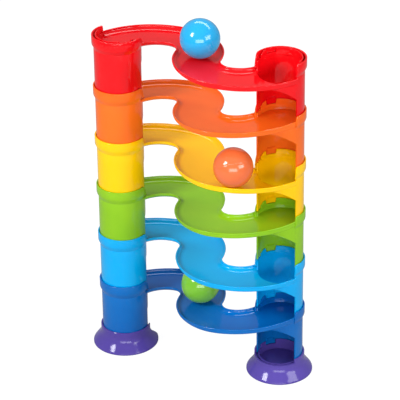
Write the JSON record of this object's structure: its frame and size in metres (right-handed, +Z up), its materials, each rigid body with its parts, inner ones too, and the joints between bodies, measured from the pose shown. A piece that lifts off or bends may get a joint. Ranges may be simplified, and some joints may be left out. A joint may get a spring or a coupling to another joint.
{
  "type": "marble run",
  "caption": "Toddler's ball run: S-shaped lanes moulded in one with their tube towers, stacked turn about on flared feet, with hollow balls that roll from tower to tower.",
  "frame": {"origin": "on the floor, midway between the axes of the towers", "axes": "+X from the left tower to the right tower, +Y to the back, +Z up"},
  "size_m": [0.2686, 0.1287, 0.425],
  "materials": {
    "ramp_red_plastic": "gloss, moulded",
    "ramp_orange_plastic": "gloss, moulded",
    "ramp_yellow_plastic": "gloss, moulded",
    "ramp_green_plastic": "gloss, moulded",
    "ramp_sky_blue_plastic": "gloss, moulded",
    "ramp_dark_blue_plastic": "gloss, moulded",
    "foot_plastic": "gloss, moulded",
    "ball_blue_plastic": "gloss, moulded",
    "ball_orange_plastic": "gloss, moulded",
    "ball_green_plastic": "gloss, moulded"
  },
  "bodies": {
    "feet": {"foot_exit": "foot_plastic", "foot_plain": "foot_plastic"},
    "ramp_dark_blue": {"ramp_dark_blue": "ramp_dark_blue_plastic"},
    "ramp_sky_blue": {"ramp_sky_blue": "ramp_sky_blue_plastic"},
    "ramp_green": {"ramp_green": "ramp_green_plastic"},
    "ramp_yellow": {"ramp_yellow": "ramp_yellow_plastic"},
    "ramp_orange": {"ramp_orange": "ramp_orange_plastic"},
    "ramp_red": {"ramp_red": "ramp_red_plastic"},
    "ball_blue": {"ball_blue": "ball_blue_plastic"},
    "ball_orange": {"ball_orange": "ball_orange_plastic"},
    "ball_green": {"ball_green": "ball_green_plastic"}
  },
  "joints": [
    {"name": "lift_dark_blue", "type": "slide", "parent": "feet", "child": "ramp_dark_blue", "axis": [0, 0, 1], "range_m": [0, 0.02]},
    {"name": "lift_sky_blue", "type": "slide", "parent": "ramp_dark_blue", "child": "ramp_sky_blue", "axis": [0, 0, 1], "range_m": [0, 0.02]},
    {"name": "lift_green", "type": "slide", "parent": "ramp_sky_blue", "child": "ramp_green", "axis": [0, 0, 1], "range_m": [0, 0.02]},
    {"name": "lift_yellow", "type": "slide", "parent": "ramp_green", "child": "ramp_yellow", "axis": [0, 0, 1], "range_m": [0, 0.02]},
    {"name": "lift_orange", "type": "slide", "parent": "ramp_yellow", "child": "ramp_orange", "axis": [0, 0, 1], "range_m": [0, 0.02]},
    {"name": "lift_red", "type": "slide", "parent": "ramp_orange", "child": "ramp_red", "axis": [0, 0, 1], "range_m": [0, 0.02]},
    {"name": "blue_ball_run", "type": "hinge", "parent": "ramp_red", "child": "ball_blue", "pos_m": [0.04795, 0.0035, 0.3775], "axis": [0.0458, 0, 0.999], "range_deg": [-10, 148]},
    {"name": "orange_ball_run", "type": "hinge", "parent": "ramp_yellow", "child": "ball_orange", "pos_m": [0.04795, 0.0035, 0.2535], "axis": [0.0458, 0, 0.999], "range_deg": [-99, 48]},
    {"name": "green_ball_run", "type": "hinge", "parent": "ramp_dark_blue", "child": "ball_green", "pos_m": [-0.04795, -0.0035, 0.0675], "axis": [-0.0458, 0, 0.999], "range_deg": [-10, 140]}
  ]
}
